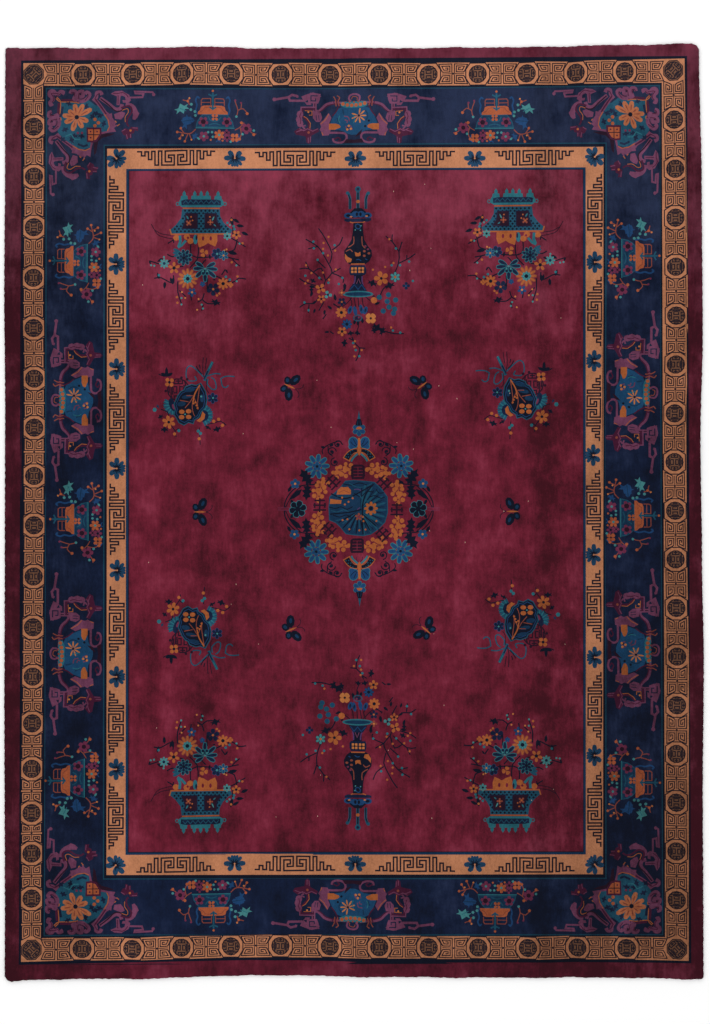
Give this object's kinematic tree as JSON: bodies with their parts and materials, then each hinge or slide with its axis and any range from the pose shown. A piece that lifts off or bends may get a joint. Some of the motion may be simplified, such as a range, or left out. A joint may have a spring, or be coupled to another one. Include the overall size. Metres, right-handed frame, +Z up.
{
  "type": "chinese art deco rug",
  "caption": "Large rectangular hand-knotted wool pile rug, lying flat, with a plain edge band, fret borders and flower ornament on a deep red ground.",
  "frame": {"origin": "middle of the rug's bounding box, on the face that meets the floor", "axes": "+Z up out of the pile, +Y along the rug to its head end, +X across the rug to the right when it is seen from above with the head end away"},
  "size_m": [2.737, 3.6718, 0.012],
  "materials": {
    "wool_pile": "cut wool pile with a soft silky nap, dyed deep red with navy, tan, teal, orange and plum ornament"
  },
  "bodies": {
    "root": {"rug": "wool_pile"}
  },
  "joints": []
}
